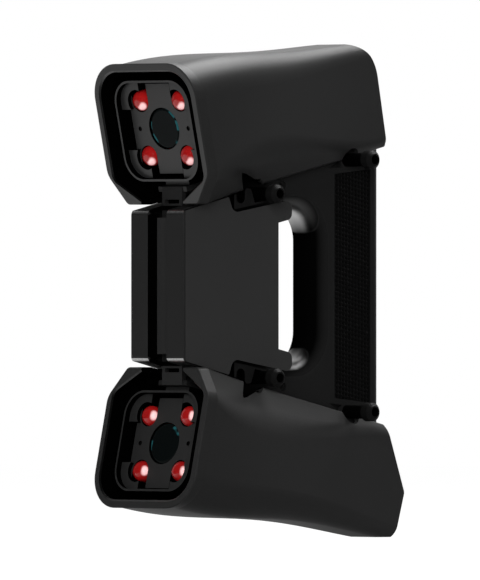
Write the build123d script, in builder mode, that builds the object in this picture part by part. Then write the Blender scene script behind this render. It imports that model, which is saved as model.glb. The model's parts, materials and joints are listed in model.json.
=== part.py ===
"""Hand-held stereo laser scanner: two camera heads on tapering arms, a laser block between them,
an opening for the fingers and an upright handle with push buttons on its back.

The frame has +X to the scanner's left-hand side seen from the front, +Y from the nose to the back and
+Z up. Most outlines are drawn in flank coordinates: y behind the nose and z away from the mid-plane."""

import math
import os
from collections import namedtuple

from build123d import *

os.makedirs("parts", exist_ok=True)

# Arms: how far they reach behind the nose face, and how far they rise past the head rims.
# A rise or drop is measured from the front top edge of the laser block, unless its group says otherwise
upper_length = 171.7
lower_length = 185.8
upper_rise = 12.7
lower_rise = 18.5

# Clearances, walls and the overrun that every cut takes
slip = 0.15
seat_gap = 0.3
arm_gap = 0.5
overrun = 2.0
wall = 2.5
edge_break = 0.8

# Heads: the face is tilted inwards, so that both cameras look at one place
toe_in = 12.8
face_y = -5.25
rim_width = 86.8
rim_height = 84.6
rim_drop = 0.8
rim_rise = 3.42
rim_low_width = 60.2
rim_chamfer_rise = 17.6
rim_corner_radius = 21.5
rim_edge = 0.6
rim_inner_edge = 0.9
rim_side_radius = 12.0
rim_low_radius = 4.0
rim_wall = 5.0
rim_band = 8.0
rim_lip = 2.0
rim_lip_gap = 1.5
rim_gap = 35.8
opening_low_wall = 2.5
opening_rise = 12.5
opening_side_radius = 6.0
opening_low_radius = 1.0

# Light ring, the cup that holds the lamps and the lens plate
ring_margin_x = 11.95
ring_margin_y = 12.05
ring_radius = 14.4
ring_wall = 1.3
ring_setback = 4.65
ring_length = 20.0
lug_setback = 3.7
lug_thickness = 2.4
lug_past_lamp_x = 3.2
lug_past_lamp_y = 4.4
lug_bore = 14.8
ring_foot = 4.35
ring_foot_width = 20.0
ring_foot_length = 10.0

# Lens plate and lamps
plate_setback = 6.6
plate_thickness = 2.0
lens_plate_shares = (0.8267, 0.8926)
lens_plate_radius = 9.0
lamp_spread_shares = (0.528, 0.5485)
lamp_hole = 13.2
lamp_diameter = 12.4
lamp_proud = 3.0
lamp_dome_share = 0.8
lens_hole = 25.2
screw_spread_share = 0.652
screw_hole = 2.8
screw_diameter = 2.4
screw_tip_recess = 0.9
screw_head_diameter = 4.4
screw_head_height = 1.6
screw_slot = 0.6
screw_slot_depth = 0.7
lamp_board_thickness = 1.6

# Cameras
barrel_diameter = 24.6
lens_recess = 0.4
lens_thickness = 3.4
lens_round = 1.6
camera_size = 29.0
camera_front = 42.0
camera_length = 28.0
sensor_board_thickness = 1.6
foot_width = 22.0
foot_length = 24.0

# Chassis beam: an upright web with a shelf at each end for the camera
web_front = 12.0
web_thickness = 3.0
web_width = 17.0
web_slot_width = 12.0
web_slot_rise = 4.0
web_slot_height = 2.4
shelf_width = 24.0
shelf_thickness = 3.0
shelf_front = 10.0
shelf_length = 58.0

# Laser block
block_front_height = 88.6
block_slope = 12.9
block_width = 45.4
block_depth = 38.0
block_round = 0.8
block_nose_round = 3.6
block_lip = 1.2
channel_width = 16.0
channel_depth = 7.4
channel_rib = 2.5
window_thickness = 2.0
window_end_gap = 4.3
laser_diameter = 14.0
laser_front = 10.2
laser_length = 22.0
laser_spacing = 22.0
laser_lens_diameter = 8.0
laser_lens_thickness = 1.3
laser_lens_proud = 0.3
sink_width = 26.0
sink_depth = 16.0
sink_height = 68.0
sink_fin_depth = 7.0
sink_fin_gap = 3.0
sink_fin_spacing = 6.0

# Side plates, with a notch over each front post and an ear behind it
plate_wall = 2.5
plate_drop = 0.5
plate_rear = 76.8
plate_rear_drop = 7.1
plate_top_length = 36.6
notch_drop = 9.3
notch_front = 40.2
notch_slope = 9.5
notch_top_radius = 1.0
notch_low_radius = 5.0
ear_length = 10.9
ear_radius = 4.5
ear_low_radius = 4.2
ear_slope = 11.9

# Handle: two half shells round the finger opening
handle_width = 28.0
handle_front = 117.2
handle_rear = 168.0
grip_opening_front = 76.4
grip_opening_height = 90.0
grip_opening_radius = 18.5
grip_lip_radius = 11.0
handle_rear_radius = 5.0
front_cavity_wall = 3.0
front_cavity_rear = 66.0
front_cavity_height = 88.0
rear_cavity_front = 132.0
rear_cavity_wall = 3.0
rear_cavity_gap = 3.7
cavity_skin = 3.0
cavity_radius = 4.0
tongue_front = 45.0
tongue_rear = 150.0
tongue_height = 7.0
pad_front = 46.0
pad_rear = 74.0
pad_height = 70.0

# Arms: a loft from the rim to the back, then trimmed by the outline of the rear end
floor_front_y = 4.5
floor_rise = 1.7
floor_slope = 12.27
station_shares = (0.23, 0.52, 0.82, 1.05)
width_shares = (0.90, 0.70, 0.49, 0.35)
low_width_shares = (0.76, 0.615, 0.55, 0.43)
low_round_shares = (1.00, 0.85, 0.60, 0.50)
least_round = 0.4
chamfer_shares = (1.20, 1.00, 0.38, 0.30)
top_round_shares = (0.90, 0.72, 0.48, 0.38)
side_round_shares = (1.40, 1.00, 0.50, 0.34)
upper_rise_shares = (0.48, 0.64, 1.00, 1.00)
lower_rise_shares = (0.32, 0.45, 0.87, 1.165)
upper_rear_lean = 12.5
upper_rear_radius = 25.0
heel_lean = 22.2
heel_turn_share = 0.8235
heel_under_lean = 18.4
heel_turn_radius = 3.5
heel_low_radius = 7.0

# Posts with tapped ends, and the slotted forks beside the front ones
post_front_y = 63.4
post_front_rise = 9.7
post_rear_y = 140.9
post_rear_rise = 30.2
post_reach = 24.0
post_head_length = 7.0
post_head_diameter = 11.0
post_shank_diameter = 8.0
post_bore = 5.5
post_bore_depth = 14.0
post_bevel = 1.9
scoop_radius = 9.0
scoop_shift = 4.0
scoop_tip_x = 34.6
scoop_tip_y = 34.4
scoop_tip_rise = 23.8
scoop_foot_y = 65.0
scoop_foot_rise = 9.2
scoop_foot_radius = 8.4
rear_scoop_radius = 7.0
groove_tip_y = 125.7
groove_tip_rise = 24.9
groove_foot_y = 136.0
groove_foot_rise = 28.7
groove_foot_radius = 2.8
fork_front = 43.3
fork_rise = 0.5
fork_base = 2.6
fork_base_length = 26.0
fork_height = 12.5
fork_prong_height = 9.0
fork_prong = 2.0
fork_slot = 6.6
fork_tab = 8.2
fork_tab_top_share = 0.62
fork_tab_round = 1.8
fork_thickness = 2.5
fork_reach = 6.0

# Grip panels
grip_front = 131.0
grip_rear = 160.0
grip_front_gap = 7.5
grip_rear_gap = 10.8
grip_thickness = 1.6
grip_inset = 0.2

# Controls on the back of the handle
panel_width = 16.6
panel_height = 68.0
panel_centre_z = 30.0
panel_thickness = 2.0
panel_radius = 4.0
panel_sink = 0.2
window_margin = 1.0
scan_diameter = 12.0
scan_z = 40.0
step_diameter = 8.0
plus_z = 22.0
minus_z = 8.0
button_proud = 1.4
button_travel = 1.0
button_flange = 0.9
button_flange_thickness = 1.2
button_round = 0.6
status_diameter = 3.0
status_z = 55.0
button_board_thickness = 1.6
button_board_height = 66.0
switch_size = 5.0
switch_height = 3.3

# Main board, in the front cavity of the handle shells
board_thickness = 1.6
board_setback = 3.0
board_margin = 2.0
boss_diameter = 5.0
boss_inset = 4.0
chip_size = 14.0
chip_thickness = 1.6
spreader_size = 18.0
spreader_base = 3.0
spreader_fin_gap = 2.4
spreader_fin_spacing = 4.8

# Inlet in the heel, and the screws that hold the handle shells together
inlet_diameter = 13.0
inlet_bore = 9.0
inlet_bore_depth = 9.0
inlet_length = 14.0
inlet_height_share = 0.69
shell_screw_diameter = 3.0
shell_screw_head = 5.5
shell_screw_head_height = 2.4
shell_screw_grip = 8.0
shell_screw_sink = 1.0
shell_screw_socket = 1.5
shell_screw_socket_depth = 1.3
shell_screw_front_y = 71.0
shell_screw_front_z = 30.0
shell_screw_rear_y = 88.0
shell_screw_rear_rise = 14.9

ENDS = {"upper": 1, "lower": -1}
SIDES = {"right": 1, "left": -1}
Section = namedtuple("Section", "half low high low_half rise top_r side_r low_r")

toe_cos = math.cos(math.radians(toe_in))
toe_sin = math.sin(math.radians(toe_in))
floor_tan = math.tan(math.radians(floor_slope))
block_tan = math.tan(math.radians(block_slope))
notch_tan = math.tan(math.radians(notch_slope))
ear_tan = math.tan(math.radians(ear_slope))
half_handle = handle_width / 2
half_block = block_width / 2
plate_inner = half_block - plate_wall
block_half_height = block_front_height / 2
rim_high = rim_height / 2 - rim_drop
face_z = block_half_height + rim_rise + (rim_height - rim_high) * toe_cos
floor_front_z = block_half_height + floor_rise
web_slot_low = block_half_height + web_slot_rise
plate_rear_height = block_half_height - plate_rear_drop
post_front_z = block_half_height + post_front_rise
post_rear_z = block_half_height + post_rear_rise
scoop_tip_z = block_half_height + scoop_tip_rise
scoop_foot_z = block_half_height + scoop_foot_rise
groove_tip_z = block_half_height + groove_tip_rise
groove_foot_z = block_half_height + groove_foot_rise
fork_low = block_half_height + fork_rise
fork_top = fork_low + fork_height
fork_prong_top = fork_low + fork_prong_height
shell_screw_rear_z = block_half_height + shell_screw_rear_rise
rim_top_z = face_z + rim_high * toe_cos
upper_height = rim_top_z + upper_rise
lower_height = rim_top_z + lower_rise
heel_turn_height = lower_height * heel_turn_share
inlet_height = lower_height * inlet_height_share
front_reach = (rim_high - rim_edge) * toe_sin - face_y
nose_y = -(lower_length - front_reach) / 2
mid_z = (lower_height - upper_height) / 2
ring_width = rim_width - 2 * ring_margin_x
ring_height = rim_height - 2 * ring_margin_y
lens_plate_width = ring_width * lens_plate_shares[0]
lens_plate_height = ring_height * lens_plate_shares[1]
lamp_spread_x = ring_width * lamp_spread_shares[0]
lamp_spread_y = ring_height * lamp_spread_shares[1]
screw_spread = ring_width * screw_spread_share
ring_back = ring_setback + ring_length
plate_front = ring_setback + plate_setback


def face_plane(end, depth):
    """Plane across a head: x across, y away from the mid-plane, z out of the face."""
    y = nose_y + face_y + depth * toe_cos
    z = mid_z + end * (face_z + depth * toe_sin)
    return Plane(origin=(0, y, z), x_dir=(end, 0, 0), z_dir=(0, -toe_cos, -end * toe_sin))


def rim_plane(end, back):
    """Plane of a head's tilted rim, moved straight backwards: x across, y away from the mid-plane."""
    y = nose_y + face_y + back
    z = mid_z + end * face_z
    return Plane(origin=(0, y, z), x_dir=(end, 0, 0), z_dir=(0, -toe_cos, -end * toe_sin))


def cross_plane(end, y):
    """Upright plane across the body at y, facing forwards: its y runs away from the mid-plane."""
    return Plane(origin=(0, nose_y + y, mid_z), x_dir=(end, 0, 0), z_dir=(0, -1, 0))


def flank_plane(end, x=0):
    """Plane along the body at x: its x runs backwards and its y away from the mid-plane."""
    return Plane(origin=(x, nose_y, mid_z), x_dir=(0, 1, 0), z_dir=(end, 0, 0))


def head_point(depth, v):
    """Flank coordinates of a point given by its depth behind a face and its height on it."""
    return face_y + depth * toe_cos - v * toe_sin, face_z + depth * toe_sin + v * toe_cos


def floor_z(y):
    """Height of an arm's inner surface, the one that faces the mid-plane."""
    return floor_front_z + floor_tan * (y - floor_front_y)


def block_z(y):
    """Height of the laser block's sloping top."""
    return block_half_height + block_tan * y


def plate_z(y):
    """Height of a side plate's sloping top edge."""
    return block_z(y) - plate_drop


def inset(section, by):
    """The same outline, moved inwards all round."""
    run = section.half - section.low_half
    slant = math.hypot(run, section.rise)
    low_half = section.low_half + by * (run - slant) / section.rise
    rise = (section.rise * (run - by) + by * slant) / run - by
    return Section(
        section.half - by,
        section.low + by,
        section.high - by,
        low_half,
        rise,
        section.top_r - by,
        section.side_r - by,
        max(section.low_r - by, least_round),
    )


def outline(section):
    """Rounded outline of a head or an arm, narrow on the side that faces the mid-plane."""
    with BuildSketch() as drawn:
        with BuildLine():
            Polyline(
                (section.low_half, section.low),
                (section.half, section.low + section.rise),
                (section.half, section.high),
                (-section.half, section.high),
                (-section.half, section.low + section.rise),
                (-section.low_half, section.low),
                close=True,
            )
        make_face()
        fillet(drawn.vertices().group_by(Axis.Y)[-1], section.top_r)
        fillet(drawn.vertices().group_by(Axis.Y)[1], section.side_r)
        fillet(drawn.vertices().group_by(Axis.Y)[0], section.low_r)
    return drawn.sketch


def save(piece, node):
    """Labels a finished piece and writes it under its node's name."""
    piece.label = node
    export_step(piece, f"parts/{node}.step")


rim = Section(
    rim_width / 2,
    rim_high - rim_height,
    rim_high,
    rim_low_width / 2,
    rim_chamfer_rise,
    rim_corner_radius,
    rim_side_radius,
    rim_low_radius,
)
rim_opening = Section(
    rim.half - rim_wall,
    rim.low + opening_low_wall,
    rim.high - rim_wall,
    rim_gap / 2,
    opening_rise,
    rim_corner_radius - rim_wall,
    opening_side_radius,
    opening_low_radius,
)


def arm_sections(end):
    """Places and outlines of an arm's cross-sections behind the rim."""
    length = upper_length if end > 0 else lower_length
    top = upper_height if end > 0 else lower_height
    rises = upper_rise_shares if end > 0 else lower_rise_shares
    found = []
    for i, share in enumerate(station_shares):
        y = share * length
        section = Section(
            rim.half * width_shares[i],
            floor_z(y),
            rim_top_z + (top - rim_top_z) * rises[i],
            rim.low_half * low_width_shares[i],
            rim.rise * chamfer_shares[i],
            rim.top_r * top_round_shares[i],
            rim.top_r * side_round_shares[i],
            rim.low_r * low_round_shares[i],
        )
        found.append((y, section))
    return found


def arm_body(end, by, start):
    """Solid of an arm, moved inwards by a distance all round and starting some way behind the rim."""
    with BuildPart() as body:
        with BuildSketch(rim_plane(end, start)):
            add(outline(inset(rim, by)))
        for y, section in arm_sections(end):
            with BuildSketch(cross_plane(end, y)):
                add(outline(inset(section, by)))
        loft()
        with BuildSketch(flank_plane(end)):
            add(rear_outline(end, by))
        extrude(amount=rim_width, both=True, mode=Mode.INTERSECT)
    return body.part


def rear_outline(end, by):
    """Flank outline that trims an arm's back: a leaning rear edge with a rounded outer corner."""
    with BuildSketch() as drawn:
        if end > 0:
            lean = math.tan(math.radians(upper_rear_lean))
            top = upper_height + slip - by
            low_y = upper_length + lean * (floor_z(upper_length) - floor_front_z)
            high_y = upper_length - lean * (top - floor_z(upper_length))
            points = [(low_y - by, floor_front_z), (high_y - by, top)]
            radii = [upper_rear_radius - by]
        else:
            lean = math.tan(math.radians(heel_lean))
            under = math.tan(math.radians(heel_under_lean))
            top = lower_height + slip - by
            low_y = lower_length - lean * (heel_turn_height - floor_front_z)
            high_y = lower_length - under * (top - heel_turn_height)
            points = [(low_y - by, floor_front_z), (lower_length - by, heel_turn_height), (high_y - by, top)]
            radii = [heel_turn_radius, heel_low_radius]
        front = [(-rim_width, top), (-rim_width, floor_front_z)]
        with BuildLine():
            Polyline(*points, *front, close=True)
        make_face()
        corners = [drawn.vertices().sort_by_distance(point)[0] for point in points[1:]]
        for corner, radius in zip(corners, radii):
            fillet(corner, radius)
    return drawn.sketch


def post_places():
    """Flank coordinates of the front and rear posts."""
    return [(post_front_y, post_front_z), (post_rear_y, post_rear_z)]


def pointed_cut(tip, foot, radius):
    """Cone from a tip to a round foot, both given as x, flank y and height above the mid-plane."""
    low = Vector(foot[0], nose_y + foot[1], mid_z + foot[2])
    high = Vector(tip[0], nose_y + tip[1], mid_z + tip[2])
    with BuildPart() as cone:
        with Locations(Plane(origin=low, z_dir=high - low)):
            Cone(radius, 0, (high - low).length, align=(Align.CENTER, Align.CENTER, Align.MIN))
    return cone.part


def make_arm(end):
    """Hollow arm shell, open to the head in front and slotted below for the handle's tongue."""
    outer = arm_body(end, 0, rim_band)
    inner = arm_body(end, wall, rim_band - overrun)
    slot_half = half_handle + slip
    with BuildPart() as arm:
        add(outer)
        add(inner, mode=Mode.SUBTRACT)
        with BuildSketch(flank_plane(end)):
            with BuildLine():
                Polyline(
                    (tongue_front - seat_gap, floor_front_z),
                    (tongue_rear + seat_gap, floor_front_z),
                    (tongue_rear + seat_gap, floor_z(tongue_rear) + tongue_height),
                    (tongue_front - seat_gap, floor_z(tongue_front) + tongue_height),
                    close=True,
                )
            make_face()
        extrude(amount=slot_half, both=True, mode=Mode.SUBTRACT)
        with BuildSketch(flank_plane(end)):
            with BuildLine():
                Polyline(
                    (-rim_band, floor_front_z),
                    (web_front + web_thickness + overrun, floor_front_z),
                    head_point(rim_band + rim_wall + overrun, rim.low + wall + overrun),
                    head_point(-overrun, rim.low + wall + overrun),
                    close=True,
                )
            make_face()
        extrude(amount=rim_gap / 2, both=True, mode=Mode.SUBTRACT)
        for side in SIDES.values():
            with BuildSketch(flank_plane(end, side * slot_half)):
                with Locations((post_front_y - scoop_shift, post_front_z)):
                    Circle(scoop_radius)
                with Locations((post_rear_y, post_rear_z)):
                    Circle(rear_scoop_radius)
            extrude(amount=side * end * rim_width, mode=Mode.SUBTRACT)
            scoop_tip = (side * scoop_tip_x, scoop_tip_y, end * scoop_tip_z)
            scoop_foot = (side * half_handle, scoop_foot_y, end * scoop_foot_z)
            add(pointed_cut(scoop_tip, scoop_foot, scoop_foot_radius), mode=Mode.SUBTRACT)
        if end < 0:
            with BuildSketch(inlet_plane()):
                Circle(inlet_diameter / 2 + slip)
            extrude(amount=inlet_length, both=True, mode=Mode.SUBTRACT)
    return arm.part


def inlet_plane():
    """Plane on the heel's leaning rear face, facing outwards."""
    lean = math.radians(heel_lean)
    y = lower_length - math.tan(lean) * (heel_turn_height - inlet_height)
    normal = (0, math.cos(lean), math.sin(lean))
    return Plane(origin=(0, nose_y + y, mid_z - inlet_height), x_dir=(1, 0, 0), z_dir=normal)


def make_bezel(end):
    """Square rim of a head, bevelled inside and open below, with a lip that plugs into the arm."""
    forwards = (0, -1, 0)
    with BuildPart() as bezel:
        with BuildSketch(rim_plane(end, rim_band)):
            add(outline(rim))
        extrude(amount=rim_band, dir=forwards)
        out_of_face = Axis(face_plane(end, 0).origin, face_plane(end, 0).z_dir)
        chamfer(bezel.faces().sort_by(out_of_face)[-1].edges(), rim_edge)
        with BuildSketch(rim_plane(end, rim_band + rim_lip)):
            add(outline(inset(rim, wall + rim_lip_gap)))
        extrude(amount=rim_lip, dir=forwards)
        with BuildSketch(rim_plane(end, rim_band + rim_lip + overrun)):
            add(outline(rim_opening))
            with Locations((0, rim.low + opening_rise / 2 - overrun)):
                Rectangle(rim_gap, opening_rise)
        extrude(amount=rim_band + rim_lip + 2 * overrun, dir=forwards, mode=Mode.SUBTRACT)
        with BuildSketch(rim_plane(end, -rim_inner_edge)):
            add(outline(inset(rim_opening, -2 * rim_inner_edge)))
        with BuildSketch(rim_plane(end, rim_inner_edge)):
            add(outline(rim_opening))
        loft(mode=Mode.SUBTRACT)
    return bezel.part


def lamp_places():
    """Places of the four lamps round the lens."""
    return GridLocations(lamp_spread_x, lamp_spread_y, 2, 2)


def make_ring(end):
    """Light ring: a rounded square cup wall with a lug in each corner, cut round over its lamp."""
    inner_width = ring_width - 2 * ring_wall
    inner_height = ring_height - 2 * ring_wall
    with BuildPart() as ring:
        with BuildSketch(face_plane(end, ring_back)):
            RectangleRounded(ring_width, ring_height, ring_radius)
            RectangleRounded(inner_width, inner_height, ring_radius - ring_wall, mode=Mode.SUBTRACT)
        extrude(amount=ring_length)
        with BuildSketch(face_plane(end, ring_setback + lug_setback + lug_thickness)):
            RectangleRounded(inner_width + ring_wall, inner_height + ring_wall, ring_radius - ring_wall / 2)
            Rectangle(lamp_spread_x - 2 * lug_past_lamp_x, ring_height, mode=Mode.SUBTRACT)
            Rectangle(ring_width, lamp_spread_y - 2 * lug_past_lamp_y, mode=Mode.SUBTRACT)
            Rectangle(lamp_spread_x, lamp_spread_y, mode=Mode.SUBTRACT)
            with lamp_places():
                Circle(lug_bore / 2, mode=Mode.SUBTRACT)
        extrude(amount=lug_thickness)
        with BuildSketch(face_plane(end, ring_back)):
            with Locations((0, (ring_wall - ring_foot - ring_height) / 2)):
                Rectangle(ring_foot_width, ring_foot + ring_wall)
        extrude(amount=ring_foot_length)
    return ring.part


def make_lens_plate(end):
    """Dark plate in the ring: slots for the lamps, a hole for the lens and two screw holes."""
    slot_length = (lens_plate_height - lamp_spread_y) / 2 + overrun
    with BuildPart() as plate:
        with BuildSketch(face_plane(end, plate_front + plate_thickness)):
            RectangleRounded(lens_plate_width, lens_plate_height, lens_plate_radius)
            with lamp_places():
                Circle(lamp_hole / 2, mode=Mode.SUBTRACT)
            with Locations(
                (0, (lamp_spread_y + slot_length) / 2),
                (0, -(lamp_spread_y + slot_length) / 2),
            ):
                with GridLocations(lamp_spread_x, 0, 2, 1):
                    Rectangle(lamp_hole, slot_length, mode=Mode.SUBTRACT)
            Circle(lens_hole / 2, mode=Mode.SUBTRACT)
            with GridLocations(screw_spread, 0, 2, 1):
                Circle(screw_hole / 2, mode=Mode.SUBTRACT)
        extrude(amount=plate_thickness)
    return plate.part


def make_lamps(end):
    """Four red lamps on the lamp board, each a short cylinder with a domed front."""
    radius = lamp_diameter / 2
    with BuildPart() as lamps:
        with BuildSketch(face_plane(end, ring_back)):
            with lamp_places():
                Circle(radius)
        extrude(amount=ring_back - plate_front + lamp_proud)
        forwards = Axis(face_plane(end, 0).origin, face_plane(end, 0).z_dir)
        fillet(lamps.edges().filter_by(GeomType.CIRCLE).group_by(forwards)[-1], radius * lamp_dome_share)
    return lamps.part


def make_lamp_board(end):
    """Circuit board behind the ring, with a hole for the lens barrel and two screw holes."""
    with BuildPart() as board:
        with BuildSketch(face_plane(end, ring_back + lamp_board_thickness)):
            RectangleRounded(ring_width, ring_height, ring_radius)
            Circle(lens_hole / 2, mode=Mode.SUBTRACT)
            with GridLocations(screw_spread, 0, 2, 1):
                Circle(screw_hole / 2, mode=Mode.SUBTRACT)
        extrude(amount=lamp_board_thickness)
    return board.part


def make_plate_screws(end):
    """Two slotted screws from behind the lamp board, with their tips sunk in the lens plate."""
    board_back = ring_back + lamp_board_thickness
    with BuildPart() as screws:
        with BuildSketch(face_plane(end, board_back)):
            with GridLocations(screw_spread, 0, 2, 1):
                Circle(screw_diameter / 2)
        extrude(amount=board_back - plate_front - screw_tip_recess)
        with BuildSketch(face_plane(end, board_back + screw_head_height)):
            with GridLocations(screw_spread, 0, 2, 1):
                Circle(screw_head_diameter / 2)
        extrude(amount=screw_head_height)
        with BuildSketch(face_plane(end, board_back + screw_head_height)):
            with GridLocations(screw_spread, 0, 2, 1):
                Rectangle(screw_head_diameter + overrun, screw_slot)
        extrude(amount=screw_slot_depth, mode=Mode.SUBTRACT)
    return screws.part


def make_barrel(end):
    """Lens barrel between the front glass and the camera."""
    with BuildPart() as barrel:
        with BuildSketch(face_plane(end, camera_front)):
            Circle(barrel_diameter / 2)
        extrude(amount=camera_front - plate_front - lens_recess - lens_thickness)
    return barrel.part


def make_lens(end):
    """Front glass of the camera lens, as wide as the barrel and rounded at its edge."""
    with BuildPart() as lens:
        with BuildSketch(face_plane(end, plate_front + lens_recess + lens_thickness)):
            Circle(barrel_diameter / 2)
        extrude(amount=lens_thickness)
        forwards = Axis(face_plane(end, 0).origin, face_plane(end, 0).z_dir)
        fillet(lens.edges().filter_by(GeomType.CIRCLE).group_by(forwards)[-1], lens_round)
    return lens.part


def make_camera(end):
    """Camera body, a cube behind the lens barrel."""
    with BuildPart() as camera:
        with BuildSketch(face_plane(end, camera_front + camera_length)):
            RectangleRounded(camera_size, camera_size, edge_break)
        extrude(amount=camera_length)
    return camera.part


def make_sensor_board(end):
    """Circuit board on the camera's back."""
    with BuildPart() as board:
        with BuildSketch(face_plane(end, camera_front + camera_length + sensor_board_thickness)):
            Rectangle(camera_size, camera_size)
        extrude(amount=sensor_board_thickness)
    return board.part


def make_camera_foot(end):
    """Block that carries the camera on the chassis shelf."""
    height = (ring_height - camera_size) / 2 + ring_foot
    with BuildPart() as foot:
        with BuildSketch(face_plane(end, camera_front + foot_length)):
            with Locations((0, -(camera_size + height) / 2)):
                Rectangle(foot_width, height)
        extrude(amount=foot_length)
    return foot.part


head_makers = {
    "arm_shell": make_arm,
    "bezel": make_bezel,
    "light_ring": make_ring,
    "lens_plate": make_lens_plate,
    "red_lamps": make_lamps,
    "lamp_board": make_lamp_board,
    "plate_screws": make_plate_screws,
    "lens_barrel": make_barrel,
    "lens_glass": make_lens,
    "camera_body": make_camera,
    "sensor_board": make_sensor_board,
    "camera_foot": make_camera_foot,
}
for end_name, end_sign in ENDS.items():
    for piece_name, maker in head_makers.items():
        save(maker(end_sign), f"{end_name}_{piece_name}")


# Chassis beam
shelf_top = -ring_height / 2 - ring_foot
shelf_end = shelf_front + shelf_length
with BuildPart() as chassis:
    web_top = head_point(shelf_front, shelf_top)[1]
    with BuildSketch(flank_plane(1)):
        with Locations((web_front + web_thickness / 2, 0)):
            Rectangle(web_thickness, 2 * web_top)
    extrude(amount=web_width / 2, both=True)
    for end_sign in ENDS.values():
        with BuildSketch(flank_plane(end_sign)):
            with BuildLine():
                Polyline(
                    head_point(shelf_front, shelf_top),
                    head_point(shelf_end, shelf_top),
                    head_point(shelf_end, shelf_top - shelf_thickness),
                    head_point(shelf_front, shelf_top - shelf_thickness),
                    close=True,
                )
            make_face()
        extrude(amount=shelf_width / 2, both=True)
        with BuildSketch(cross_plane(end_sign, web_front)):
            with Locations((0, web_slot_low + web_slot_height / 2)):
                Rectangle(web_slot_width, web_slot_height)
        extrude(amount=web_thickness + overrun, both=True, mode=Mode.SUBTRACT)
    with BuildSketch(cross_plane(1, web_front)):
        with GridLocations(0, laser_spacing, 1, 3):
            Circle(laser_diameter / 2 + slip)
    extrude(amount=web_thickness + overrun, both=True, mode=Mode.SUBTRACT)
save(chassis.part, "chassis_beam")


# Laser housing: an open-backed box with a channel down its front
with BuildPart() as housing:
    with BuildSketch(flank_plane(1)):
        with BuildLine():
            Polyline(
                (0, block_z(0)),
                (block_depth, block_z(block_depth)),
                (block_depth, -block_z(block_depth)),
                (0, -block_z(0)),
                close=True,
            )
        make_face()
    extrude(amount=half_block, both=True)
    fillet(housing.faces().sort_by(Axis.Y)[0].edges().filter_by(Axis.X), block_nose_round)
    fillet(housing.faces().sort_by(Axis.Y)[0].edges().filter_by(Axis.Z), block_round)
    for side in SIDES.values():
        with BuildSketch(flank_plane(1, side * plate_inner)):
            with Locations((block_lip + block_depth, 0)):
                Rectangle(2 * block_depth, 2 * block_z(2 * block_depth))
        extrude(amount=side * (plate_wall + overrun), mode=Mode.SUBTRACT)
    with BuildSketch(flank_plane(1)):
        with BuildLine():
            Polyline(
                (wall, block_z(wall) - wall),
                (block_depth + overrun, block_z(block_depth + overrun) - wall),
                (block_depth + overrun, wall - block_z(block_depth + overrun)),
                (wall, wall - block_z(wall)),
                close=True,
            )
        make_face()
    extrude(amount=plate_inner - wall, both=True, mode=Mode.SUBTRACT)
    rib_depth = channel_depth + window_thickness
    rib_z = block_z(wall) - wall
    with BuildSketch(cross_plane(1, rib_depth)):
        Rectangle(channel_width + 2 * channel_rib, 2 * rib_z)
    extrude(amount=rib_depth - wall / 2)
    with BuildSketch(cross_plane(1, rib_depth + overrun)):
        Rectangle(channel_width, 2 * block_z(block_depth))
    extrude(amount=rib_depth + 2 * overrun, mode=Mode.SUBTRACT)
    with BuildSketch(flank_plane(1)):
        with Locations((web_front + web_thickness / 2, 0)):
            Rectangle(web_thickness + 2 * slip, 2 * block_z(block_depth))
    extrude(amount=web_width / 2 + slip, both=True, mode=Mode.SUBTRACT)
save(housing.part, "laser_housing")

with BuildPart() as window:
    with BuildSketch(cross_plane(1, channel_depth + window_thickness)):
        Rectangle(channel_width - 2 * slip, 2 * (block_z(0) - window_end_gap))
    extrude(amount=window_thickness)
save(window.part, "laser_window")

with BuildPart() as lasers:
    with BuildSketch(cross_plane(1, laser_front + laser_length)):
        with GridLocations(0, laser_spacing, 1, 3):
            Circle(laser_diameter / 2)
    extrude(amount=laser_length)
    with BuildSketch(cross_plane(1, laser_front + laser_lens_thickness - laser_lens_proud)):
        with GridLocations(0, laser_spacing, 1, 3):
            Circle(laser_lens_diameter / 2 + slip)
    extrude(amount=laser_lens_thickness + overrun, mode=Mode.SUBTRACT)
save(lasers.part, "laser_modules")

with BuildPart() as laser_lenses:
    with BuildSketch(cross_plane(1, laser_front + laser_lens_thickness - laser_lens_proud)):
        with GridLocations(0, laser_spacing, 1, 3):
            Circle(laser_lens_diameter / 2)
    extrude(amount=laser_lens_thickness)
save(laser_lenses.part, "laser_lenses")

sink_front = web_front + web_thickness
with BuildPart() as sink:
    with BuildSketch(cross_plane(1, sink_front + sink_depth)):
        Rectangle(sink_width, sink_height)
    extrude(amount=sink_depth)
    with BuildSketch(cross_plane(1, sink_front + sink_depth)):
        with GridLocations(0, laser_spacing, 1, 3):
            Circle(laser_diameter / 2 + slip)
    extrude(amount=sink_depth + overrun, both=True, mode=Mode.SUBTRACT)
    fin_count = int(sink_height / sink_fin_spacing)
    with BuildSketch(cross_plane(1, sink_front + sink_depth)):
        with GridLocations(0, sink_fin_spacing, 1, fin_count):
            Rectangle(sink_width + overrun, sink_fin_gap)
    extrude(amount=sink_fin_depth, mode=Mode.SUBTRACT)
save(sink.part, "laser_heat_sink")


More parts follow.
